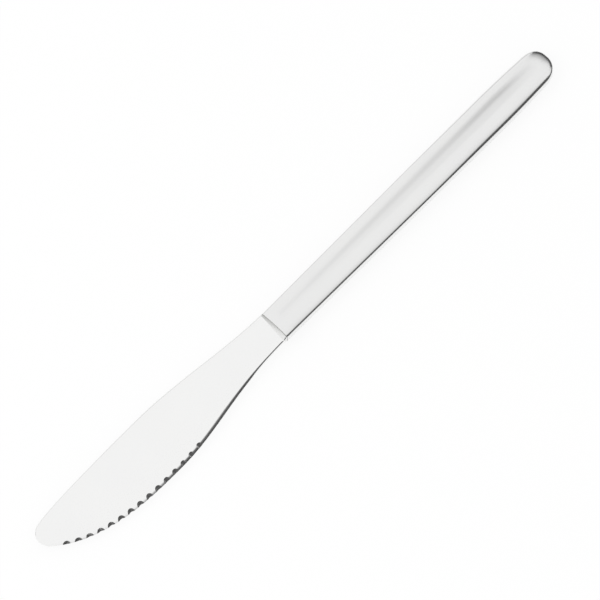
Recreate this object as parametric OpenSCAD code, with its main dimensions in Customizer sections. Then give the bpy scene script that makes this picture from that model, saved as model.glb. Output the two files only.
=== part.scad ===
// Table knife with a hollow handle, lying flat.
// The blade, its shoulder and its tang are one forging. Two pressed half shells make the handle: a weld
// bead joins them, solder seals the shoulder to their mouth, and cement inside grips the tang.
// Millimetres. +X runs to the handle's end, +Y to the spine, +Z up; the knife lies on z = 0.

/* [Blade] */
// Length of the blade, from the nose to the mouth of the handle
blade_len = 94.9; // [85:0.1:115]
// Height of the spine above the handle's axis
spine_height = 9.35; // [8:0.05:11]
// Depth of the cutting edge below the handle's axis
edge_depth = 10.25; // [9:0.05:13]
// Radius of the round nose
nose_r = 4.2; // [3:0.1:5]
// Height of the nose's centre above the handle's axis
nose_rise = 3.7; // [2:0.1:4.5]
// How far the spine stands past the handle's side where the two meet
neck_spine_step = 0.3; // [0:0.05:0.5]
// How far the cutting edge stands in from the handle's side where the two meet
neck_edge_step = 0.15; // [0:0.05:0.5]
// Thickness at the highest point of the spine
spine_thick = 2.2; // [1.6:0.1:2.8]
// Thickness at the deepest point of the cutting edge
edge_thick = 0.8; // [0.7:0.05:1.1]
// Thickness at the tip of the nose
nose_thick = 1; // [0.8:0.05:1.4]

/* [Notches of the cutting edge] */
// How many notches are ground into the front face
notch_count = 15; // [5:1:16]
// Distance from notch to notch along the edge
notch_pitch = 3.55; // [2.8:0.05:3.8]
// Distance along the edge from the round of the nose to the first notch
notch_start = 4.9; // [1:0.1:6]
// Radius of the grinding wheel's rim
notch_r = 1.9; // [0.9:0.05:2.2]
// How far a notch reaches into the front face
notch_depth = 1.3; // [0.6:0.05:1.4]
// Lean of the wheel from square to the blade, in degrees
notch_tilt = 60; // [45:1:66]
// Length of the wheel's path through the edge
notch_run = 8; // [6:0.5:12]

/* [Shoulder and tang] */
// Length of the shoulder's slope at the spine
shoulder_spine_len = 0.45; // [0.3:0.05:2]
// Length of the shoulder's slope at the cutting edge
shoulder_edge_len = 1.35; // [0.6:0.05:3]
// How far the shoulder stands in from the handle's surface
shoulder_set_in = 0.1; // [0.05:0.05:0.4]
// Length of the tang inside the handle
tang_len = 50; // [30:1:70]
// Room for cement on each side of the tang's root
tang_side_gap = 1.05; // [0.6:0.05:1.6]
// Width of the tang at its end
tang_end_w = 5; // [3:0.1:6]
// Thickness of the tang
tang_thick = 2.4; // [1.6:0.1:3]
// Radius of the bites in the tang's sides that the cement keys into
tang_bite_r = 1; // [0.5:0.1:1.4]
// Distance from bite to bite
tang_bite_pitch = 12; // [8:1:16]

/* [Handle] */
// Length of the handle, from its mouth to its end
handle_len = 115.1; // [98:0.1:130]
// Thickness of the handle
handle_thick = 5.5; // [5.2:0.1:8]
// Width at the mouth
mouth_w = 10.5; // [9.5:0.1:13]
// Width at the widest place
swell_w = 11.8; // [10:0.1:14]
// Distance from the widest place to the handle's end
swell_back = 24; // [18:1:50]
// Width where the rounding of the end begins
end_w = 10.9; // [9.5:0.1:13]
// Length of the rounding of the end
end_round_len = 6.2; // [5.5:0.1:9]
// Radius of the long edges
side_edge_r = 1; // [0.9:0.05:1.3]
// Radius of the edge round the end
end_edge_r = 2; // [1:0.05:2.2]
// Width of the flat along the middle of each face, at the mouth
flat_w = 3; // [2:0.1:4.5]
// Slope of the crowned face where it meets the edge, in degrees
crown_angle = 16; // [6:1:20]
// Thickness of the shells' sheet
shell_wall = 0.7; // [0.5:0.05:0.8]

/* [Joints] */
// Width of the weld bead between the shells
seam_gap = 0.2; // [0.1:0.05:0.4]
// Thickness of the solder between the shoulder and the mouth
solder_gap = 0.15; // [0.1:0.05:0.3]
// Gap that the cement leaves as it shrinks in the shells
cement_gap = 0.05; // [0.02:0.01:0.1]

/* [Hidden] */

// How far cutting bodies run past what they cut
overrun = 1;
$fn = 48;

// Shares of the blade's length, from the mouth, that place the blade's curves
spine_peak_share = 0.51;
belly_share = 0.53;
// Shares of the blade's length that the curves' control arms take
neck_spine_arm_share = 0.15;
peak_back_arm_share = 0.17;
peak_front_arm_share = 0.13;
nose_spine_arm_share = 0.04;
nose_edge_arm_share = 0.18;
belly_front_arm_share = 0.11;
belly_back_arm_share = 0.18;
neck_edge_arm_share = 0.24;
// The nose's arc, in degrees from +X
nose_spine_angle = 120;
nose_edge_angle = 228;
nose_step = 6;
// Steps along each of the blade's curves
curve_steps = 16;

// Steps of the handle's loft
straight_steps = 4;
fall_steps = 4;
round_steps = 10;
edge_steps = 5;
crown_steps = 3;
// Roundness of the handle's end: 2 is an ellipse, more is squarer
end_squareness = 2.35;

half_thick = handle_thick / 2;
mouth_half = mouth_w / 2;
swell_half = swell_w / 2;
end_half = end_w / 2;
swell_pos = handle_len - swell_back;
round_start = handle_len - end_round_len;
neck_spine = mouth_half + neck_spine_step;
neck_edge = mouth_half - neck_edge_step;
tang_root_w = mouth_w - 2 * (shell_wall + tang_side_gap);
// Depth in from the outline at which the flat of a face begins
flat_in = mouth_half - flat_w / 2;

// Moves a piece from the middle of the handle's mouth to the part's own frame
module placed() {
    translate([(blade_len - handle_len) / 2, (edge_depth - spine_height) / 2, half_thick])
        children();
}

// Points of a cubic curve
function bend(a, b, c, d) = [
    for (i = [0 : curve_steps])
        let (t = i / curve_steps, s = 1 - t)
            a * s * s * s + b * 3 * s * s * t + c * 3 * s * t * t + d * t * t * t
];

// Outline of the blade: neck, spine, nose, cutting edge, neck
neck_x = -solder_gap;
nose_c = [nose_r - blade_len, nose_rise];
spine_peak = [-spine_peak_share * blade_len, spine_height];
belly = [-belly_share * blade_len, -edge_depth];
nose_in = nose_c + nose_r * [cos(nose_spine_angle), sin(nose_spine_angle)];
nose_out = nose_c + nose_r * [cos(nose_edge_angle), sin(nose_edge_angle)];
along = [blade_len, 0];
spine_back = bend(
    [neck_x, neck_spine],
    [neck_x, neck_spine] - neck_spine_arm_share * along,
    spine_peak + peak_back_arm_share * along,
    spine_peak
);
spine_front = bend(
    spine_peak,
    spine_peak - peak_front_arm_share * along,
    nose_in + nose_spine_arm_share * blade_len * [sin(nose_spine_angle), -cos(nose_spine_angle)],
    nose_in
);
nose = [
    for (a = [nose_spine_angle + nose_step : nose_step : nose_edge_angle - nose_step])
        nose_c + nose_r * [cos(a), sin(a)]
];
edge_front = bend(
    nose_out,
    nose_out + nose_edge_arm_share * blade_len * [-sin(nose_edge_angle), cos(nose_edge_angle)],
    belly - belly_front_arm_share * along,
    belly
);
edge_back = bend(
    belly,
    belly + belly_back_arm_share * along,
    [neck_x, -neck_edge] - neck_edge_arm_share * along,
    [neck_x, -neck_edge]
);
function rest(list) = [for (i = [1 : len(list) - 1]) list[i]];
cutting_edge = concat(edge_front, rest(edge_back));

// Each face of the blade is a plane through the thickness at the spine's peak, the belly and the nose
peak_rise = (spine_thick - edge_thick) / 2;
nose_gain = (nose_thick - edge_thick) / 2;
peak_run = spine_peak - belly;
nose_run = [-blade_len, nose_rise] - belly;
face_det = peak_run.x * nose_run.y - peak_run.y * nose_run.x;
face_slope = [
    (peak_rise * nose_run.y - peak_run.y * nose_gain) / face_det,
    (peak_run.x * nose_gain - nose_run.x * peak_rise) / face_det
];
function face_z(p) = edge_thick / 2 + face_slope * (p - belly);

// The shoulder's slope is a plane from the handle's face down to the blade's, longer at the cutting edge
spine_neck_z = face_z([neck_x, neck_spine]);
edge_neck_z = face_z([neck_x, -neck_edge]);
shoulder_steep =
    ((half_thick - spine_neck_z) * neck_edge + (half_thick - edge_neck_z) * neck_spine)
    / (shoulder_spine_len * neck_edge + shoulder_edge_len * neck_spine);
shoulder_lean = (spine_neck_z - half_thick + shoulder_steep * shoulder_spine_len) / neck_spine;
function shoulder_z(p) = half_thick + shoulder_steep * (p.x - neck_x) + shoulder_lean * p.y;

// A block whose underside is the plane through four corner heights; it cuts a sloping face
module above(low, high, z, top) {
    corner = [low, [high.x, low.y], high, [low.x, high.y]];
    polyhedron(
        points = concat(
            [for (i = [0 : 3]) [corner[i].x, corner[i].y, z[i]]],
            [for (c = corner) [c.x, c.y, top]]
        ),
        faces = [[0, 1, 2], [0, 2, 3], [4, 7, 6, 5], [0, 4, 5, 1], [1, 5, 6, 2], [2, 6, 7, 3], [3, 7, 4, 0]]
    );
}

// Cuts the front and the back of a body to a sloping plane each
module cut_faces(low, high, z) {
    difference() {
        children();
        above(low, high, z, handle_thick);
        mirror([0, 0, 1]) above(low, high, z, handle_thick);
    }
}

// Length along a path of points up to point i
function path_len(path, i) = i == 0 ? 0 : path_len(path, i - 1) + norm(path[i] - path[i - 1]);
edge_lens = [for (i = [0 : len(cutting_edge) - 1]) path_len(cutting_edge, i)];

// The notches: the wheel leans over the front face and runs out through the edge
module notches() {
    for (i = [0 : notch_count - 1]) {
        reach = notch_start + i * notch_pitch;
        k = [for (j = [0 : len(edge_lens) - 2]) if (edge_lens[j] <= reach) j];
        j = k[len(k) - 1];
        step = cutting_edge[j + 1] - cutting_edge[j];
        p = cutting_edge[j] + step * (reach - edge_lens[j]) / norm(step);
        translate([p.x, p.y, face_z(p)])
            rotate([0, 0, atan2(-step.x, step.y)])
                translate([notch_r / cos(notch_tilt) - notch_depth, 0, 0])
                    rotate([0, -notch_tilt, 0])
                        cylinder(r = notch_r, h = notch_run, center = true);
    }
}

module blade_plate() {
    low = [-blade_len - overrun, -edge_depth - overrun];
    high = [overrun, spine_height + overrun];
    z = [face_z(low), face_z([high.x, low.y]), face_z(high), face_z([low.x, high.y])];
    cut_faces(low, high, z)
        linear_extrude(height = handle_thick, center = true)
            polygon(concat(spine_back, rest(spine_front), nose, cutting_edge));
}

module shoulder() {
    low = [neck_x - shoulder_edge_len - overrun, -mouth_half - overrun];
    high = [neck_x + overrun, mouth_half + overrun];
    z = [
        shoulder_z(low),
        shoulder_z([high.x, low.y]),
        shoulder_z(high),
        shoulder_z([low.x, high.y])
    ];
    cut_faces(low, high, z)
        translate([neck_x - shoulder_edge_len, 0, 0])
            rotate([90, 0, 90])
                linear_extrude(height = shoulder_edge_len)
                    polygon(mouth_section(shoulder_set_in));
}

module tang() {
    translate([neck_x - shoulder_spine_len, 0, 0])
        linear_extrude(height = tang_thick, center = true)
            difference() {
                polygon([
                    [0, -tang_root_w / 2],
                    [tang_len, -tang_end_w / 2],
                    [tang_len, tang_end_w / 2],
                    [0, tang_root_w / 2]
                ]);
                for (x = [tang_bite_pitch : tang_bite_pitch : tang_len - tang_bite_pitch / 2], s = [-1, 1])
                    translate([x, s * (tang_root_w + (tang_end_w - tang_root_w) * x / tang_len) / 2])
                        circle(r = tang_bite_r);
            }
}

module blade() {
    color([0.88, 0.89, 0.9])
        placed() {
            difference() {
                union() {
                    blade_plate();
                    shoulder();
                }
                notches();
            }
            tang();
        }
}

// Half the width of the handle at a distance from its mouth
function side_half(x) =
    x < swell_pos
        ? mouth_half + (swell_half - mouth_half) * x / swell_pos
        : swell_half - (swell_half - end_half) * pow((x - swell_pos) / (round_start - swell_pos), 2);

// Stations round the handle's outline on the spine's side: [place along the handle, half width, share of
// the end's rounding along X, share across]
function stations(start) = concat(
    [for (i = [0 : straight_steps - 1])
        let (x = start + (swell_pos - start) * i / straight_steps) [x, side_half(x), 0, 1]],
    [for (i = [0 : fall_steps - 1])
        let (x = swell_pos + (round_start - swell_pos) * i / fall_steps) [x, side_half(x), 0, 1]],
    [for (i = [0 : round_steps])
        let (a = 90 * i / round_steps)
            let (along_share = pow(sin(a), 2 / end_squareness))
                [round_start, side_half(round_start + end_round_len * along_share),
                 along_share, pow(cos(a), 2 / end_squareness)]]
);
// The same stations on both sides, from the mouth on the spine's side round the end and back
function round_stations(start) =
    let (s = stations(start), n = len(s))
        concat(s, [for (i = [n - 2 : -1 : 0]) [s[i][0], s[i][1], s[i][2], -s[i][3]]]);

// A point of the outline, moved in by a depth
function outline_point(s, depth) = [
    s[0] + (s[2] > 0 ? (end_round_len - depth) * s[2] : 0),
    (s[1] - depth) * s[3]
];

// Profile of a half handle at a skin depth inside the outside: [depth in from the outline, height], from
// the side wall over the rounded edge and the crowned face to the flat
function profile(edge_r, skin) =
    let (
        edge_in = edge_r * (1 - sin(crown_angle)),
        crown = tan(crown_angle) * (flat_in - edge_in) / 2,
        wall_top = half_thick - crown - edge_r * cos(crown_angle),
        skin_r = edge_r - skin,
        face_in = edge_in + skin * sin(crown_angle),
        face_rise = crown - skin * (1 - cos(crown_angle))
    )
        concat(
            [for (i = [0 : edge_steps])
                let (a = (90 - crown_angle) * i / edge_steps)
                    [skin + skin_r * (1 - cos(a)), wall_top + skin_r * sin(a)]],
            [for (i = [1 : crown_steps])
                let (t = i / crown_steps)
                    [face_in + (flat_in - face_in) * t, half_thick - skin - face_rise * (1 - t) * (1 - t)]]
        );

// Edge radius at a station: it grows round the end
function station_edge_r(s) = side_edge_r + (end_edge_r - side_edge_r) * s[2];

// Upper half of the handle's body at a skin depth, closed by planes at the start and the base
module half_body(skin, start, base) {
    s = round_stations(start);
    n = len(s);
    k = edge_steps + crown_steps + 2;
    mid = (n - 1) / 2;
    points = [
        for (i = [0 : n - 1])
            let (p = profile(station_edge_r(s[i]), skin))
                for (j = [0 : k - 1])
                    let (q = j == 0 ? [p[0][0], base] : p[j - 1], o = outline_point(s[i], q[0]))
                        [o.x, o.y, q[1]]
    ];
    skin_faces = [
        for (i = [0 : n - 2], j = [0 : k - 2])
            each [
                [i * k + j, (i + 1) * k + j + 1, i * k + j + 1],
                [i * k + j, (i + 1) * k + j, (i + 1) * k + j + 1]
            ]
    ];
    // Strips across the body, from side to side: the flat on top, the base, and the start
    flat_faces = [
        for (i = [0 : mid - 1])
            let (a = i * k + k - 1, b = (n - 1 - i) * k + k - 1)
                each i < mid - 1 ? [[a, b - k, b], [a, a + k, b - k]] : [[a, a + k, b]]
    ];
    base_faces = [
        for (i = [0 : mid - 1])
            let (a = i * k, b = (n - 1 - i) * k)
                each i < mid - 1 ? [[a, b, b - k], [a, b - k, a + k]] : [[a, b, a + k]]
    ];
    start_faces = [
        for (j = [0 : k - 2])
            let (a = j, b = (n - 1) * k + j)
                each [[a, a + 1, b + 1], [a, b + 1, b]]
    ];
    polyhedron(points = points, faces = concat(skin_faces, flat_faces, base_faces, start_faces));
}

// Full section of the handle's mouth at a skin depth, as points across and up
function mouth_section(skin) =
    let (
        p = profile(side_edge_r, skin),
        quarter = [for (q = p) [mouth_half - q[0], q[1]]],
        top = concat(quarter, [for (i = [len(quarter) - 1 : -1 : 0]) [-quarter[i].x, quarter[i].y]])
    )
        concat(top, [for (i = [len(top) - 1 : -1 : 0]) [top[i].x, -top[i].y]]);

module half_shell() {
    difference() {
        half_body(0, 0, seam_gap / 2);
        half_body(shell_wall, -overrun, -overrun);
    }
}

module front_shell() {
    color([0.83, 0.84, 0.85]) placed() half_shell();
}

module back_shell() {
    color([0.8, 0.81, 0.82]) placed() mirror([0, 0, 1]) half_shell();
}

module seam_weld() {
    color([0.72, 0.73, 0.74])
        placed()
            linear_extrude(height = seam_gap, center = true)
                difference() {
                    polygon([for (s = round_stations(0)) outline_point(s, 0)]);
                    polygon([for (s = round_stations(-overrun)) outline_point(s, shell_wall)]);
                }
}

module mouth_solder() {
    color([0.75, 0.75, 0.73])
        placed()
            translate([neck_x, 0, 0])
                rotate([90, 0, 90])
                    linear_extrude(height = solder_gap)
                        difference() {
                            polygon(mouth_section(0));
                            polygon(mouth_section(shell_wall));
                        }
}

module tang_cement() {
    color([0.6, 0.59, 0.56])
        placed()
            difference() {
                union() {
                    half_body(shell_wall + cement_gap, neck_x, -seam_gap / 2);
                    mirror([0, 0, 1]) half_body(shell_wall + cement_gap, neck_x, -seam_gap / 2);
                }
                tang();
            }
}

blade();
front_shell();
back_shell();
seam_weld();
mouth_solder();
tang_cement();
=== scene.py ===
import math

import bmesh
import bpy
from mathutils import Matrix, Vector


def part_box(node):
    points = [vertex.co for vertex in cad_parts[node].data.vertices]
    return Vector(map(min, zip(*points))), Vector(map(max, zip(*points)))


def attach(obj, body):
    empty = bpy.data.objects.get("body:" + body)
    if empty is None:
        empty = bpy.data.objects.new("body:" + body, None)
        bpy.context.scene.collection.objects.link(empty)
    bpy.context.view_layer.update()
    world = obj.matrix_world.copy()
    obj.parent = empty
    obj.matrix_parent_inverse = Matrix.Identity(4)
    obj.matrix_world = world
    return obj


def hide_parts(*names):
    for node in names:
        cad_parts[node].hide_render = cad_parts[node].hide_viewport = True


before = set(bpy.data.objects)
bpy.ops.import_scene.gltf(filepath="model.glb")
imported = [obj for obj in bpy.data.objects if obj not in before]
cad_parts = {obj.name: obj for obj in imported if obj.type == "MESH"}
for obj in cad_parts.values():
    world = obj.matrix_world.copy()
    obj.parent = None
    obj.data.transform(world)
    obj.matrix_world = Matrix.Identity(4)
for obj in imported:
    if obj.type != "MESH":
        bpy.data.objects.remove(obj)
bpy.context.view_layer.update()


# Half shells of the handle: two mirrored pressings of stainless sheet, welded along their flat trimmed edges
# and polished lengthwise. Each face is crowned, rolls over into the side wall, and ends in a square mouth.
# Sizes are in millimetres from the middle of the handle's mouth: +X to the end, +Y to the spine, +Z up.
MM = 0.001
shell_low, shell_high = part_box("front_shell")
mouth = Vector((shell_low.x, (shell_low.y + shell_high.y) / 2, shell_high.z / 2))
handle_len = (shell_high.x - shell_low.x) / MM
half_thick = shell_high.z / 2 / MM
swell_half = (shell_high.y - shell_low.y) / 2 / MM
mouth_half, end_half, flat_half = 5.25, 5.45, 0.15
sheet, seam_half, seam_lip, mouth_lip = 0.7, 0.1, 0.005, 0.12
crown_angle, sharp_angle = math.radians(16), math.radians(35)
# The handle is widest short of its end, whose two corners are rounded as superellipses.
swell_back, end_round_len = 24, 6.2
spine_squareness, edge_squareness = 2.75, 2.2
swell_x = handle_len - swell_back
round_x = handle_len - end_round_len
# The roll from face to side wall grows along the handle, and the face dips towards the end.
mouth_roll, swell_roll, end_roll_wide, end_roll_high = 0.9, 1.42, 2.0, 1.0
roll_start, dip_start, end_dip = 58, 96, 0.5
lip_steps, side_steps, swell_steps, end_steps, roll_steps, crown_steps = 3, 24, 10, 28, 12, 12


def half_width(x):
    """Half the handle's width at a distance from its mouth."""
    if x < swell_x:
        return mouth_half + (swell_half - mouth_half) * x / swell_x
    return swell_half - (swell_half - end_half) * ((x - swell_x) / (round_x - swell_x)) ** 2


def steps(count, low=0, high=1):
    """Even steps from low up to high, both ends included."""
    return [low + (high - low) * i / count for i in range(count + 1)]


def side_stations(squareness):
    """Places along one side of the handle's outline, from the mouth to the middle of the end.

    Each is (place along the handle, half width, share of the end's rounding, share across, lip's depth).
    """
    side = []
    for turn in steps(lip_steps, 0, math.pi / 2):
        x = mouth_lip * (1 - math.cos(turn))
        side.append((x, half_width(x), 0, 1, mouth_lip * (1 - math.sin(turn))))
    for x in steps(side_steps, 0, swell_x)[1:] + steps(swell_steps, swell_x, round_x)[1:-1]:
        side.append((x, half_width(x), 0, 1, 0))
    for turn in steps(end_steps, 0, math.pi / 2):
        along = math.sin(turn) ** (2 / squareness)
        across = max(math.cos(turn), 0) ** (2 / squareness)
        side.append((round_x, half_width(round_x + end_round_len * along), along, across, 0))
    return side


def stations():
    """Places round the whole outline, from the mouth on the spine's side round the end and back."""
    spine_side, edge_side = side_stations(spine_squareness), side_stations(edge_squareness)[:-1]
    return spine_side + [(x, half, along, -across, lip)
                         for x, half, along, across, lip in reversed(edge_side)]


def outline_point(station, depth):
    """A point of the handle's outline, moved in by a depth."""
    x, half, along, across, lip = station
    return (x + (end_round_len - depth) * along if along else x), (half - depth) * across


def roll_radii(station):
    """Width and height of the rounding from the face to the side wall at a station."""
    swell = min(max((station[0] - roll_start) / (swell_x - roll_start), 0), 1)
    roll = mouth_roll + (swell_roll - mouth_roll) * swell * swell * (3 - 2 * swell)
    return roll + (end_roll_wide - roll) * station[2], roll + (end_roll_high - roll) * station[2]


def profile(roll_wide, roll_high, skin_depth):
    """Half the handle's section at a skin depth: (depth in from the outline, height), from seam to flat."""
    roll_end = math.atan(roll_high / (roll_wide * math.tan(crown_angle)))
    flat_in = mouth_half - flat_half
    crown = math.tan(crown_angle) * (flat_in - roll_wide * (1 - math.cos(roll_end))) / 2
    wall_top = half_thick - crown - roll_high * math.sin(roll_end)
    section = [(skin_depth + seam_lip, seam_half), (skin_depth, seam_half + seam_lip)]
    for turn in steps(roll_steps, 0, roll_end):
        section.append((skin_depth + (roll_wide - skin_depth) * (1 - math.cos(turn)),
                        wall_top + (roll_high - skin_depth) * math.sin(turn)))
    roll_in, roll_top = section[-1]
    face_top = half_thick - skin_depth
    for t in steps(crown_steps)[1:]:
        section.append((roll_in + (flat_in - roll_in) * t, face_top - (face_top - roll_top) * (1 - t) ** 2))
    return section


def dipped(x, z):
    """A height above the seam, lowered where the face dips towards the handle's end."""
    dip_share = max((x - dip_start) / (handle_len - dip_start), 0) ** 2
    return z - (z - seam_half) * dip_share * end_dip / half_thick


def vertex(shape, x, y, z):
    """A new vertex at a place in millimetres from the middle of the mouth."""
    return shape.verts.new(mouth + Vector((x, y, z)) * MM)


def skin(shape, rows, closed=False):
    """Faces between neighbouring rows of vertices; closed joins each row's end to its start."""
    for a, b in zip(rows, rows[1:]):
        for j in range(len(a) if closed else len(a) - 1):
            k = (j + 1) % len(a)
            shape.faces.new(dict.fromkeys((a[j], a[k], b[k], b[j])))


def piece(name, shape, material):
    """A finished object from a shape: smooth faces, with sharp edges where they meet past an angle."""
    bmesh.ops.recalc_face_normals(shape, faces=shape.faces)
    mesh = bpy.data.meshes.new(name)
    shape.to_mesh(mesh)
    shape.free()
    mesh.shade_smooth()
    mesh.set_sharp_from_angle(angle=sharp_angle)
    mesh.materials.append(material)
    made = bpy.data.objects.new(name, mesh)
    bpy.context.scene.collection.objects.link(made)
    return made


def half_shell(name, side, material):
    """One pressed half of the handle; side is 1 for the front and -1 for the back."""
    shape = bmesh.new()
    skins = []
    for skin_depth in (0, sheet):
        rows = []
        for s in stations():
            lip = 0 if skin_depth else s[4]
            section = profile(*roll_radii(s), skin_depth)
            lipped = [(depth + lip, max(z - lip, seam_half)) for depth, z in section]
            points = [(*outline_point(s, depth), z) for depth, z in lipped]
            rows.append([vertex(shape, x, y, side * dipped(x, z)) for x, y, z in points])
        skin(shape, rows)
        skin(shape, [[rows[i][-1], rows[-1 - i][-1]] for i in range(len(rows) // 2 + 1)])
        skins.append(rows)
    skin(shape, [[row[0] for row in rows] for rows in skins])
    skin(shape, [rows[0] + rows[-1][::-1] for rows in skins])
    return piece(name, shape, material)


def linear(hex_colour):
    """Linear colour of an sRGB hex value."""
    shares = [int(hex_colour[i:i + 2], 16) / 255 for i in (1, 3, 5)]
    return (*[s / 12.92 if s <= 0.04045 else ((s + 0.055) / 1.055) ** 2.4 for s in shares], 1)


def add(tree, kind, settings=None, links=None):
    """Adds a node: settings are its properties or input values, and links join outputs to its inputs."""
    node = tree.nodes.new(kind)
    for key, value in (settings or {}).items():
        if isinstance(key, int) or key in node.inputs:
            node.inputs[key].default_value = value
        else:
            setattr(node, key, value)
    for key, output in (links or {}).items():
        tree.links.new(output, node.inputs[key])
    return node


def new_material(name):
    """An empty node material, with its tree and its output node."""
    material = bpy.data.materials.new(name)
    material.use_nodes = True
    material.node_tree.nodes.clear()
    return material, material.node_tree, add(material.node_tree, "ShaderNodeOutputMaterial")


# Satin-polished stainless steel: a soft lengthwise grain blurs reflections, and handling leaves cloudy
# smudges. The real grain lines are finer than a tenth of a millimetre, so they are drawn coarser to show.
satin_steel, tree, out = new_material("satin_polished_stainless_steel")
grain_width, grain_length, grain_depth, smudge_size = 0.5 * MM, 30 * MM, 0.001 * MM, 14 * MM
place = add(tree, "ShaderNodeTexCoord").outputs["Object"]
lengthwise = add(tree, "ShaderNodeMapping", {"Scale": (1 / grain_length, 1 / grain_width, 1 / grain_width)},
                 {"Vector": place})
grain = add(tree, "ShaderNodeTexNoise", {"Scale": 1, "Detail": 2}, {"Vector": lengthwise.outputs[0]})
smudge = add(tree, "ShaderNodeTexNoise", {"Scale": 1 / smudge_size, "Detail": 3}, {"Vector": place})
tone = add(tree, "ShaderNodeValToRGB", links={"Fac": smudge.outputs["Fac"]})
tone.color_ramp.elements[0].color = linear("#EDEDED")
tone.color_ramp.elements[1].color = linear("#F1F1F0")
grain_rough = add(tree, "ShaderNodeMapRange", {"To Min": 0.17, "To Max": 0.23},
                  {"Value": grain.outputs["Fac"]})
bump = add(tree, "ShaderNodeBump", {"Strength": 0.25, "Distance": grain_depth},
           {"Height": grain.outputs["Fac"]})
steel = add(tree, "ShaderNodeBsdfPrincipled", {"Metallic": 1},
            {"Base Color": tone.outputs[0], "Roughness": grain_rough.outputs[0], "Normal": bump.outputs[0]})
tree.links.new(steel.outputs[0], out.inputs["Surface"])

for node_name, side in (("front_shell", 1), ("back_shell", -1)):
    shell = half_shell("handle_" + node_name, side, satin_steel)
    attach(shell, "root")
    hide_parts(node_name)


# Weld bead: the fused seam that joins the two shells all round the handle, ground back and polished almost
# flush, so that only a hairline shows along the side walls and round the end.
bead_sink = 0.005
bead_section = [(bead_sink, seam_half), (bead_sink / 2, 0), (bead_sink, -seam_half),
                (sheet, -seam_half), (sheet, seam_half)]
shape = bmesh.new()
rows = [[vertex(shape, *outline_point(s, depth), z) for depth, z in bead_section]
        for s in stations() if not s[4]]
skin(shape, rows, closed=True)
shape.faces.new(rows[0])
shape.faces.new(rows[-1])

# Ground weld metal: a little duller and greyer than the sheet beside it, with marks from the belt, which are
# drawn coarser than the real ones so that they show.
weld_steel, tree, out = new_material("ground_weld_steel")
belt_mark = 0.4 * MM
place = add(tree, "ShaderNodeTexCoord").outputs["Object"]
marks = add(tree, "ShaderNodeTexNoise", {"Scale": 1 / belt_mark, "Detail": 2}, {"Vector": place})
tone = add(tree, "ShaderNodeValToRGB", links={"Fac": marks.outputs["Fac"]})
tone.color_ramp.elements[0].color = linear("#E8E8E7")
tone.color_ramp.elements[1].color = linear("#EEEEED")
mark_rough = add(tree, "ShaderNodeMapRange", {"To Min": 0.22, "To Max": 0.3},
                 {"Value": marks.outputs["Fac"]})
steel = add(tree, "ShaderNodeBsdfPrincipled", {"Metallic": 1},
            {"Base Color": tone.outputs[0], "Roughness": mark_rough.outputs[0]})
tree.links.new(steel.outputs[0], out.inputs["Surface"])

bead = piece("seam_weld_bead", shape, weld_steel)
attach(bead, "root")
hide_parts("seam_weld")


# Cement: the filling poured into the handle round the tang, which sets hard and grips it. The shells and the
# blade's shoulder close it in, so its solid stays as it is and only takes a grainy, matt finish.
cement_mix, tree, out = new_material("cast_handle_cement")
sand_grain, sand_depth = 0.4 * MM, 0.05 * MM
place = add(tree, "ShaderNodeTexCoord").outputs["Object"]
sand = add(tree, "ShaderNodeTexNoise", {"Scale": 1 / sand_grain, "Detail": 4}, {"Vector": place})
tone = add(tree, "ShaderNodeValToRGB", links={"Fac": sand.outputs["Fac"]})
tone.color_ramp.elements[0].color = linear("#8C877C")
tone.color_ramp.elements[1].color = linear("#B4AFA4")
bump = add(tree, "ShaderNodeBump", {"Strength": 0.4, "Distance": sand_depth},
           {"Height": sand.outputs["Fac"]})
cement = add(tree, "ShaderNodeBsdfPrincipled", {"Roughness": 0.9},
             {"Base Color": tone.outputs[0], "Normal": bump.outputs[0]})
tree.links.new(cement.outputs[0], out.inputs["Surface"])
cement_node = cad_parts["tang_cement"]
cement_node.data.materials.clear()
cement_node.data.materials.append(cement_mix)


# Blade: one stainless forging with a leaf-shaped plate, a sloping shoulder that closes the handle's mouth,
# and a tang inside the handle. Its faces are ground to a taper, its spine is eased, its edge is bevelled,
# and a tilted wheel has ground a row of notches into the front face.
blade_low, blade_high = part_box("blade")
nose_x = (blade_low.x - mouth.x) / MM
tang_end_x = (blade_high.x - mouth.x) / MM
blade_len = -nose_x
peak_share, belly_share = 0.51, 0.53
spine_peak = Vector((-peak_share * blade_len, (blade_high.y - mouth.y) / MM))
belly = Vector((-belly_share * blade_len, (blade_low.y - mouth.y) / MM))
neck_x, neck_spine_y, neck_edge_y, plate_set_back = -0.15, 5.55, -5.1, 0.02
plate_x = neck_x - plate_set_back
nose_r, nose_y = 4.2, 3.7
nose_spine_turn, nose_edge_turn = math.radians(120), math.radians(228)
spine_thick, edge_thick, nose_thick = 2.2, 0.8, 1.0
# The spine's ease goes on round the nose and shrinks along the edge. The bevel fades out towards the heel.
spine_r, ease_share, heel_ease_cut, honed_land = 0.9, 0.8, 0.25, 0.1
heel_start, heel_end = -6, -28
bevel_width, bevel_drop, bevel_hollow, nose_bevel_share, bevel_run = 1.1, 0.42, 1.5, 0.4, 34
roll_width, roll_drop = 2.5, 0.05
ring_shares = (0, 0.25, 0.5, 0.75, 1, 1.1, 1.5, 2, roll_width / bevel_width)
bend_steps, nose_steps, half_count, across_steps = 80, 24, 170, 5


def bend(start, start_arm, end_arm, end):
    """Points of a cubic curve whose control arms are offsets from its ends."""
    a, d = Vector(start), Vector(end)
    b, c = a + Vector(start_arm), d + Vector(end_arm)
    return [a * (1 - t) ** 3 + b * 3 * (1 - t) ** 2 * t + c * 3 * (1 - t) * t * t + d * t ** 3
            for t in steps(bend_steps)]


def nose_arc(first_turn, last_turn):
    """Points of the round nose between two turns from +X."""
    return [Vector((nose_x + nose_r * (1 + math.cos(turn)), nose_y + nose_r * math.sin(turn)))
            for turn in steps(nose_steps, first_turn, last_turn)]


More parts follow.
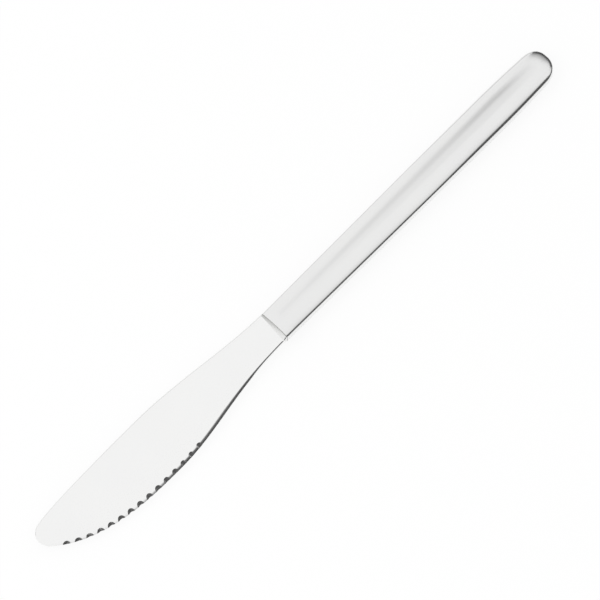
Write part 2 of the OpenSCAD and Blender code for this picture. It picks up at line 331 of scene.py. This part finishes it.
def along_path(path, reach):
    """The point of a path at a distance along it, and the direction of the path there."""
    for a, b in zip(path, path[1:]):
        length = (b - a).length
        if reach <= length:
            break
        reach -= length
    return a.lerp(b, reach / length), (b - a).normalized()


def path_length(path):
    """Length of a path of points."""
    return sum((b - a).length for a, b in zip(path, path[1:]))


def evened(path, count):
    """The same path with its points at even distances."""
    return [along_path(path, reach)[0] for reach in steps(count, 0, path_length(path))]


def face_z(p):
    """Half the blade's thickness at a point: a plane through the spine's peak, the belly and the nose."""
    to_peak, to_nose = spine_peak - belly, Vector((nose_x, nose_y)) - belly
    peak_gain, nose_gain = (spine_thick - edge_thick) / 2, (nose_thick - edge_thick) / 2
    slope = Vector((peak_gain * to_nose.y - to_peak.y * nose_gain,
                    to_peak.x * nose_gain - to_nose.x * peak_gain))
    return edge_thick / 2 + slope.dot(p - belly) / (to_peak.x * to_nose.y - to_peak.y * to_nose.x)


# The outline runs from the neck along the spine, round the nose, and back along the cutting edge. The control
# arms of its four bends are shares of the blade's length, and those at the nose follow its arc's tangents.
spine_shares, edge_shares = (0.15, 0.17, 0.13, 0.04), (0.18, 0.11, 0.18, 0.24)
neck_spine_arm, peak_back_arm, peak_front_arm, nose_spine_arm = [share * blade_len for share in spine_shares]
nose_edge_arm, belly_front_arm, belly_back_arm, neck_edge_arm = [share * blade_len for share in edge_shares]
spine_lead = (nose_spine_arm * math.sin(nose_spine_turn), -nose_spine_arm * math.cos(nose_spine_turn))
edge_lead = (-nose_edge_arm * math.sin(nose_edge_turn), nose_edge_arm * math.cos(nose_edge_turn))
tip_turn = (nose_spine_turn + nose_edge_turn) / 2
spine_arc, edge_arc = nose_arc(nose_spine_turn, tip_turn), nose_arc(tip_turn, nose_edge_turn)
spine_back = bend((plate_x, neck_spine_y), (-neck_spine_arm, 0), (peak_back_arm, 0), spine_peak)
spine_front = bend(spine_peak, (-peak_front_arm, 0), spine_lead, spine_arc[0])
edge_front = bend(edge_arc[-1], edge_lead, (-belly_front_arm, 0), belly)
edge_back = bend(belly, (belly_back_arm, 0), (-neck_edge_arm, 0), (plate_x, neck_edge_y))
cutting_edge = edge_front + edge_back[1:]
outline = evened(spine_back + spine_front[1:] + spine_arc[1:], half_count)
outline += evened(edge_arc + cutting_edge[1:], half_count)[1:]


def blade_ring(i, side):
    """Section of one face at a point of the outline, going in: (x, y, height).

    The front alone is bevelled, along its cutting edge.
    """
    p = outline[i]
    tangent = (outline[min(i + 1, len(outline) - 1)] - outline[max(i - 1, 0)]).normalized()
    inward = Vector((-tangent.y, tangent.x))
    if i in (0, len(outline) - 1):
        inward = Vector((0, -1 if i == 0 else 1))
    nose_half = nose_r * (nose_edge_turn - nose_spine_turn) / 2
    past_tip = (i - half_count) * path_length(outline) / (2 * half_count)
    heel_share = (p.x - heel_start) / (heel_end - heel_start)
    edge_share = min(max(min(1 + past_tip / nose_half, heel_share), 0), 1) if side > 0 else 0
    edge_way = max(i / half_count - 1, 0)
    ease_r = min(spine_r, (ease_share - heel_ease_cut * edge_way) * face_z(p))
    bevel_share = nose_bevel_share + (1 - nose_bevel_share) * min((p.x - nose_x) / bevel_run, 1)
    drop = min(bevel_drop * bevel_share, (2 - ease_share) * face_z(p) - honed_land)
    ring = []
    for t in ring_shares:
        turn = math.pi / 2 * min(t, 1)
        eased_in = max(ease_r * (1 - math.cos(turn)), bevel_width * t if t > 1 else 0)
        eased_drop = ease_r * (1 - math.sin(turn))
        bevelled_drop = drop * max(1 - t, 0) ** bevel_hollow
        ground_drop = bevelled_drop + roll_drop * (1 - t * bevel_width / roll_width) ** 2
        depth = eased_in + (bevel_width * t - eased_in) * edge_share
        q = p + inward * depth
        ring.append((q.x, q.y, side * (face_z(q) - eased_drop - (ground_drop - eased_drop) * edge_share)))
    return ring


def blade_plate():
    """The leaf-shaped plate, closed at the neck."""
    shape = bmesh.new()
    rims, caps = [], []
    across = steps(across_steps)[1:-1]
    for side in (1, -1):
        rings = [[vertex(shape, *point) for point in blade_ring(i, side)] for i in range(len(outline))]
        skin(shape, rings)
        lines = []
        for i in range(half_count):
            a, b = rings[i][-1], rings[-1 - i][-1]
            inner = [(a.co.lerp(b.co, t) - mouth) / MM for t in across]
            lines.append([a, *[vertex(shape, p.x, p.y, side * face_z(p.xy)) for p in inner], b])
        lines.append([rings[half_count][-1]] * len(lines[0]))
        skin(shape, lines)
        rims.append([ring[0] for ring in rings])
        caps.append(rings[0] + lines[0][1:-1] + rings[-1][::-1])
    skin(shape, rims)
    skin(shape, caps)
    return shape


# Shoulder: each face sweeps up from the blade to the mouth's section, and further on the edge's side.
shoulder_spine_len, shoulder_edge_len, shoulder_set_in, shoulder_root = 0.45, 1.45, 0.1, 0.03
shoulder_sweep, foot_narrow_share, shoulder_steps = 1.6, 0.05, 12


def mouth_section(skin_depth):
    """Upper half of the mouth's section at a skin depth: (y, z) points from the spine to the edge."""
    quarter = [(mouth_half - depth, z) for depth, z in profile(mouth_roll, mouth_roll, skin_depth)[2:]]
    return quarter + [(-y, z) for y, z in reversed(quarter)]


def shoulder_block():
    """The shoulder, closed at the handle's mouth and rooted in the plate."""
    shape = bmesh.new()
    grids = []
    for side in (1, -1):
        grid = []
        for rise in steps(shoulder_steps):
            row = []
            for y, z in mouth_section(shoulder_set_in):
                edge_share = (mouth_half - y) / (2 * mouth_half)
                reach = shoulder_spine_len + (shoulder_edge_len - shoulder_spine_len) * edge_share
                foot_z = face_z(Vector((neck_x - reach, y))) - shoulder_root
                height = foot_z + (z - foot_z) * rise ** shoulder_sweep
                foot = 1 - rise
                across = y * (1 - foot_narrow_share * foot)
                row.append(vertex(shape, neck_x - reach * foot, across, side * height))
            grid.append(row)
        skin(shape, grid)
        grids.append(grid)
    skin(shape, [grid[0] for grid in grids])
    skin(shape, [grid[-1] for grid in grids])
    skin(shape, [[row[0] for row in grid] for grid in grids])
    skin(shape, [[row[-1] for row in grid] for grid in grids])
    return shape


# Tang: the flat bar inside the handle, with round bites in its sides for the cement to key into.
tang_root_half, tang_end_half, tang_thick_half = 3.5, 2.5, 1.2
bite_r, bite_pitch, bite_steps = 1.0, 12, 16


def tang_bar():
    """The tang, which starts inside the shoulder."""
    start_x = neck_x - shoulder_spine_len / 2
    length = tang_end_x - start_x
    side = [(start_x, tang_root_half)]
    x = bite_pitch
    while x <= length - bite_pitch / 2:
        half = tang_root_half + (tang_end_half - tang_root_half) * x / length
        side += [(start_x + x + bite_r * math.cos(turn), half - bite_r * math.sin(turn))
                 for turn in steps(bite_steps, math.pi, 0)]
        x += bite_pitch
    side.append((tang_end_x, tang_end_half))
    round_bar = side + [(x, -y) for x, y in reversed(side)]
    shape = bmesh.new()
    faces = [[vertex(shape, x, y, z) for x, y in round_bar] for z in (tang_thick_half, -tang_thick_half)]
    skin(shape, faces, closed=True)
    for face in faces:
        shape.faces.new(face)
    return shape


# Notches: the wheel's rim leans over the front face and runs out through the edge. Near the nose the wheel
# stands steeper, and its bites are shallower and longer.
notch_count, notch_pitch, notch_start, wheel_sides = 15, 3.55, 4.9, 64
notch_r, notch_depth, notch_tilt, notch_run = 2.15, 1.26, math.radians(60), 12
nose_notch_count, nose_r_share, nose_depth_share, nose_tilt = 6, 1.25, 0.72, math.radians(54)


def notch_wheels():
    """One cutting cylinder for each notch."""
    shape = bmesh.new()
    for i in range(notch_count):
        p, tangent = along_path(cutting_edge, notch_start + i * notch_pitch)
        outward = Vector((tangent.y, -tangent.x, 0))
        past_nose = min(i / nose_notch_count, 1)
        wheel_r = notch_r * (nose_r_share + (1 - nose_r_share) * past_nose)
        depth = notch_depth * (nose_depth_share + (1 - nose_depth_share) * past_nose)
        tilt = nose_tilt + (notch_tilt - nose_tilt) * past_nose
        centre = Vector((*p, face_z(p))) + outward * (wheel_r / math.cos(tilt) - depth)
        axis = Vector((0, 0, 1)) * math.cos(tilt) - outward * math.sin(tilt)
        turn = axis.to_track_quat("Z", "Y").to_matrix().to_4x4()
        place = Matrix.Translation(mouth + centre * MM) @ turn
        bmesh.ops.create_cone(shape, cap_ends=True, segments=wheel_sides, radius1=wheel_r * MM,
                              radius2=wheel_r * MM, depth=notch_run * MM, matrix=place)
    return shape


# Mirror-polished stainless steel: brighter and smoother than the handle, with faint polishing lines and
# smudges. The lines are drawn coarser than the real ones, which are too fine to show.
polished_steel, tree, out = new_material("mirror_polished_stainless_steel")
line_width, line_length, line_depth, haze_size = 0.6 * MM, 25 * MM, 0.001 * MM, 18 * MM
place = add(tree, "ShaderNodeTexCoord").outputs["Object"]
lengthwise = add(tree, "ShaderNodeMapping", {"Scale": (1 / line_length, 1 / line_width, 1 / line_width)},
                 {"Vector": place})
lines = add(tree, "ShaderNodeTexNoise", {"Scale": 1, "Detail": 2}, {"Vector": lengthwise.outputs[0]})
haze = add(tree, "ShaderNodeTexNoise", {"Scale": 1 / haze_size, "Detail": 3}, {"Vector": place})
tone = add(tree, "ShaderNodeValToRGB", links={"Fac": haze.outputs["Fac"]})
tone.color_ramp.elements[0].color = linear("#F5F5F5")
tone.color_ramp.elements[1].color = linear("#F9F9F8")
line_rough = add(tree, "ShaderNodeMapRange", {"To Min": 0.15, "To Max": 0.2},
                 {"Value": lines.outputs["Fac"]})
bump = add(tree, "ShaderNodeBump", {"Strength": 0.2, "Distance": line_depth},
           {"Height": lines.outputs["Fac"]})
steel = add(tree, "ShaderNodeBsdfPrincipled", {"Metallic": 1},
            {"Base Color": tone.outputs[0], "Roughness": line_rough.outputs[0], "Normal": bump.outputs[0]})
tree.links.new(steel.outputs[0], out.inputs["Surface"])

# Belt-ground steel on the shoulder: fine lines across it blur reflections, and are drawn coarser than the
# real ones. Its colour is painted a darker grey towards the mouth's corner at the spine, as painted shade in
# that crease.
belt_steel_with_painted_shade, tree, out = new_material("belt_ground_steel_with_painted_shade")
belt_line, belt_length, painted_shade_reach, painted_shade_lean = 0.3 * MM, 4 * MM, 1.1 * MM, 0.08
place = add(tree, "ShaderNodeTexCoord").outputs["Object"]
crosswise = add(tree, "ShaderNodeMapping", {"Scale": (1 / belt_line, 1 / belt_length, 1 / belt_line)},
                {"Vector": place})
lines = add(tree, "ShaderNodeTexNoise", {"Scale": 1, "Detail": 2}, {"Vector": crosswise.outputs[0]})
# Painted shade: it starts at the mouth's corner on the spine's side and fades out across the shoulder.
painted_shade_corner = -mouth.x - painted_shade_lean * (mouth.y + mouth_half * MM)
from_corner = add(tree, "ShaderNodeVectorMath", {"operation": "DOT_PRODUCT", 1: (-1, -painted_shade_lean, 0)},
                  {0: place})
out_of_painted_shade = add(tree, "ShaderNodeMapRange", {"From Min": painted_shade_corner, "From Max": painted_shade_corner + painted_shade_reach},
              {"Value": from_corner.outputs["Value"]})
tone = add(tree, "ShaderNodeValToRGB", links={"Fac": out_of_painted_shade.outputs[0]})
# The ramp's dark end is the painted shade in the mouth's corner.
tone.color_ramp.elements[0].color = linear("#B4B4B3")
tone.color_ramp.elements[1].color = linear("#EEEEED")
line_rough = add(tree, "ShaderNodeMapRange", {"To Min": 0.22, "To Max": 0.3},
                 {"Value": lines.outputs["Fac"]})
steel = add(tree, "ShaderNodeBsdfPrincipled", {"Metallic": 1},
            {"Base Color": tone.outputs[0], "Roughness": line_rough.outputs[0]})
tree.links.new(steel.outputs[0], out.inputs["Surface"])

# Wheel-ground steel inside the notches: greyer and rougher, with grit marks drawn coarser than the real ones.
ground_steel, tree, out = new_material("wheel_ground_stainless_steel")
grit_mark = 0.3 * MM
place = add(tree, "ShaderNodeTexCoord").outputs["Object"]
grit = add(tree, "ShaderNodeTexNoise", {"Scale": 1 / grit_mark, "Detail": 2}, {"Vector": place})
tone = add(tree, "ShaderNodeValToRGB", links={"Fac": grit.outputs["Fac"]})
tone.color_ramp.elements[0].color = linear("#CECECD")
tone.color_ramp.elements[1].color = linear("#DEDEDD")
grit_rough = add(tree, "ShaderNodeMapRange", {"To Min": 0.22, "To Max": 0.32},
                 {"Value": grit.outputs["Fac"]})
steel = add(tree, "ShaderNodeBsdfPrincipled", {"Metallic": 1},
            {"Base Color": tone.outputs[0], "Roughness": grit_rough.outputs[0]})
tree.links.new(steel.outputs[0], out.inputs["Surface"])

# The shoulder and the tang are joined to the plate, the notches are cut, and each keeps its own steel.
blade_sharp_angle = math.radians(25)
blade = piece("blade_forging", blade_plate(), polished_steel)
operands = [
    ("UNION", piece("shoulder", shoulder_block(), belt_steel_with_painted_shade)),
    ("UNION", piece("tang", tang_bar(), polished_steel)),
    ("DIFFERENCE", piece("notches", notch_wheels(), ground_steel)),
]
for operation, operand in operands:
    modifier = blade.modifiers.new(operand.name, "BOOLEAN")
    modifier.operation, modifier.solver, modifier.object = operation, "MANIFOLD", operand
    modifier.material_mode = "TRANSFER"
forged = bpy.data.meshes.new_from_object(blade.evaluated_get(bpy.context.evaluated_depsgraph_get()))
blade.modifiers.clear()
blade.data = forged
for operation, operand in operands:
    bpy.data.objects.remove(operand)
forged.set_sharp_from_angle(angle=blade_sharp_angle)
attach(blade, "root")
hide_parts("blade")


# Solder: a thin ring of silver solder that seals the blade's shoulder to the handle's mouth. It is wiped
# flush while hot and sits a hair below the polished steel, so it shows as a fine line.
solder_sink = 0.05
shape = bmesh.new()
loops = []
for x, depth in ((neck_x, solder_sink), (0, solder_sink), (0, sheet), (neck_x, sheet)):
    upper = mouth_section(depth)
    loops.append([vertex(shape, x, y, z) for y, z in upper + [(y, -z) for y, z in reversed(upper)]])
skin(shape, loops + loops[:1], closed=True)

# Silver solder: a dull pale grey, mottled where it froze.
solder_metal, tree, out = new_material("wiped_silver_solder")
mottle_size = 0.8 * MM
place = add(tree, "ShaderNodeTexCoord").outputs["Object"]
mottle = add(tree, "ShaderNodeTexNoise", {"Scale": 1 / mottle_size, "Detail": 3}, {"Vector": place})
tone = add(tree, "ShaderNodeValToRGB", links={"Fac": mottle.outputs["Fac"]})
tone.color_ramp.elements[0].color = linear("#B4B4B1")
tone.color_ramp.elements[1].color = linear("#C6C6C2")
mottle_rough = add(tree, "ShaderNodeMapRange", {"To Min": 0.35, "To Max": 0.5},
                   {"Value": mottle.outputs["Fac"]})
metal = add(tree, "ShaderNodeBsdfPrincipled", {"Metallic": 1},
            {"Base Color": tone.outputs[0], "Roughness": mottle_rough.outputs[0]})
tree.links.new(metal.outputs[0], out.inputs["Surface"])

ring = piece("mouth_solder_ring", shape, solder_metal)
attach(ring, "root")
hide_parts("mouth_solder")


# Camera: high above the knife, which runs up to the right, and far away with a long lens, so that nothing
# converges. The handle's mouth stands at its pixel of the 600 pixel frame.
picture_size, pixels_per_mm = 600, 3.4267
mouth_pixel = (274.78, 327.47)
azimuth, elevation, camera_distance, sensor = math.radians(-46.08), math.radians(72), 8, 36
right = Vector((math.cos(azimuth), math.sin(azimuth), 0))
away = Vector((-math.sin(azimuth), math.cos(azimuth), 0))
back = Vector((0, 0, math.sin(elevation))) - away * math.cos(elevation)
up = back.cross(right)
target = mouth - (right * (mouth_pixel[0] - picture_size / 2)
                  - up * (mouth_pixel[1] - picture_size / 2)) * MM / pixels_per_mm
camera = bpy.data.objects.new("camera", bpy.data.cameras.new("camera"))
camera.data.sensor_width = sensor
camera.data.lens = sensor * camera_distance / (picture_size / pixels_per_mm * MM)
camera.data.clip_end = 4 * camera_distance
camera_turn = Matrix((right, up, back)).transposed().to_4x4()
camera.matrix_world = Matrix.Translation(target + back * camera_distance) @ camera_turn
scene = bpy.context.scene
scene.collection.objects.link(camera)
scene.camera = camera
scene.view_settings.view_transform = "Standard"


# Floor: a sheet of matt white board that the knife lies on. It glows to the camera and in the steel, as a lit
# table does, so that only a faint shadow is left.
floor_half, camera_glow = 6, 0.87
white_board, tree, out = new_material("matt_white_board")
board = add(tree, "ShaderNodeBsdfDiffuse", {"Color": linear("#F3F3F3")})
glow = add(tree, "ShaderNodeEmission", {"Color": (1, 1, 1, 1), "Strength": 1})
ray = add(tree, "ShaderNodeLightPath")
mirrored = add(tree, "ShaderNodeMath", {"operation": "MAXIMUM"},
               {0: ray.outputs["Is Glossy Ray"], 1: ray.outputs["Is Transmission Ray"]})
glowing = add(tree, "ShaderNodeMath", {"operation": "MULTIPLY_ADD", 1: camera_glow},
              {0: ray.outputs["Is Camera Ray"], 2: mirrored.outputs[0]})
lit = add(tree, "ShaderNodeMixShader",
          links={0: glowing.outputs[0], 1: board.outputs[0], 2: glow.outputs[0]})
tree.links.new(lit.outputs[0], out.inputs["Surface"])
shape = bmesh.new()
bmesh.ops.create_grid(shape, x_segments=1, y_segments=1, size=floor_half)
floor = piece("floor", shape, white_board)


# Studio light: an even white room lights the knife from all round, and a softbox up on the left throws the
# knife's faint shadow to the right. The steel doesn't mirror the softbox.
sky_strength = 0.96
softbox_size, softbox_watts, softbox_distance, softbox_left, softbox_near = 1.0, 5.0, 1.6, 0.8, 0.2
world = bpy.data.worlds.new("studio")
world.use_nodes = True
scene.world = world
tree = world.node_tree
tree.nodes.clear()
sky = add(tree, "ShaderNodeBackground", {"Color": (1, 1, 1, 1), "Strength": sky_strength})
add(tree, "ShaderNodeOutputWorld", links={"Surface": sky.outputs[0]})
softbox = bpy.data.objects.new("softbox", bpy.data.lights.new("softbox", "AREA"))
softbox.data.shape, softbox.data.size, softbox.data.energy = "SQUARE", softbox_size, softbox_watts
softbox_way = Vector((0, 0, 1)) - right * softbox_left - away * softbox_near
softbox.location = softbox_way.normalized() * softbox_distance
softbox.rotation_mode = "QUATERNION"
softbox.rotation_quaternion = softbox_way.to_track_quat("Z", "Y")
softbox.visible_glossy = False
scene.collection.objects.link(softbox)


# Flags: grey cards that stand round the table, out of the picture, and that the polished steel mirrors. The
# dark ones draw the dark lines along the knife's edges, and a pale one draws the line along its spine. Each
# stands a metre from the middle and fades out towards its top, given in degrees above the floor.
flag_steps = 36


def reflected_only(card):
    """Leaves a card to be seen in reflections alone."""
    card.visible_camera = card.visible_diffuse = card.visible_transmission = card.visible_shadow = False


def flag(name, first_turn, last_turn, clear_above, full_below, colour):
    """A curved card round part of the table; turns are from the picture's right, upwards."""
    low, high = math.tan(math.radians(full_below)), math.tan(math.radians(clear_above))
    felt, tree, out = new_material(name + "_felt")
    place = add(tree, "ShaderNodeTexCoord").outputs["Object"]
    height = add(tree, "ShaderNodeSeparateXYZ", links={0: place})
    fade = add(tree, "ShaderNodeMapRange",
               {"interpolation_type": "SMOOTHSTEP", "From Min": low, "From Max": high},
               {"Value": height.outputs["Z"]})
    cloth = add(tree, "ShaderNodeEmission", {"Color": linear(colour)})
    clear = add(tree, "ShaderNodeBsdfTransparent")
    felt_mix = add(tree, "ShaderNodeMixShader",
                   links={0: fade.outputs[0], 1: cloth.outputs[0], 2: clear.outputs[0]})
    tree.links.new(felt_mix.outputs[0], out.inputs["Surface"])
    shape = bmesh.new()
    rows = []
    for turn in steps(flag_steps, math.radians(first_turn), math.radians(last_turn)):
        foot = right * math.cos(turn) + away * math.sin(turn)
        rows.append([shape.verts.new(foot), shape.verts.new(foot + Vector((0, 0, high)))])
    skin(shape, rows)
    reflected_only(piece(name, shape, felt))


flag("near_flag", -118, -72, 56, 46, "#666666")
flag("right_flag", -72, 4, 70, 46, "#545454")
flag("end_flag", 4, 28, 36, 18, "#484848")
flag("far_flag", 28, 94, 50, 35, "#505050")
flag("spine_flag", 94, 192, 26, 6, "#D2D2D2")

# Overhead flags: soft-edged cards above the handle, which leave a grey streak along its crowned face. A long
# one gives the streak's whole length, and a short one its darker part towards the handle's end.
overhead_height, streak_y = 0.3, 1.4


def overhead_flag(name, streak_x, face_lean, half_long, half_wide, strength, fade_share):
    """A card mirrored by the handle's face at a place along it, where the face leans by some degrees.

    Strength is the card's darkness in its middle; it fades over the outer share of the way to its rim.
    """
    face_way = Vector((0, math.sin(math.radians(face_lean)), math.cos(math.radians(face_lean))))
    streak_way = face_way * 2 * back.dot(face_way) - back
    veil, tree, out = new_material(name + "_veil")
    place = add(tree, "ShaderNodeTexCoord").outputs["Object"]
    middle = add(tree, "ShaderNodeTexGradient", {"gradient_type": "SPHERICAL"}, {"Vector": place})
    thick = add(tree, "ShaderNodeMapRange",
                {"interpolation_type": "SMOOTHSTEP", "From Max": fade_share, "To Max": strength},
                {"Value": middle.outputs["Fac"]})
    clear = add(tree, "ShaderNodeBsdfTransparent")
    dark = add(tree, "ShaderNodeEmission", {"Color": linear("#101010")})
    veil_mix = add(tree, "ShaderNodeMixShader",
                   links={0: thick.outputs[0], 1: clear.outputs[0], 2: dark.outputs[0]})
    tree.links.new(veil_mix.outputs[0], out.inputs["Surface"])
    shape = bmesh.new()
    bmesh.ops.create_grid(shape, x_segments=1, y_segments=1, size=1)
    card = piece(name, shape, veil)
    streak_point = mouth + Vector((streak_x, streak_y, half_thick)) * MM
    card.location = streak_point + streak_way * (overhead_height / streak_way.z)
    card.scale = (half_long, half_wide, 1)
    reflected_only(card)


overhead_flag("long_overhead_flag", streak_x=60, face_lean=3.8, half_long=0.06, half_wide=0.05,
              strength=0.19, fade_share=0.4)
overhead_flag("short_overhead_flag", streak_x=103, face_lean=5, half_long=0.025, half_wide=0.085,
              strength=0.75, fade_share=1)
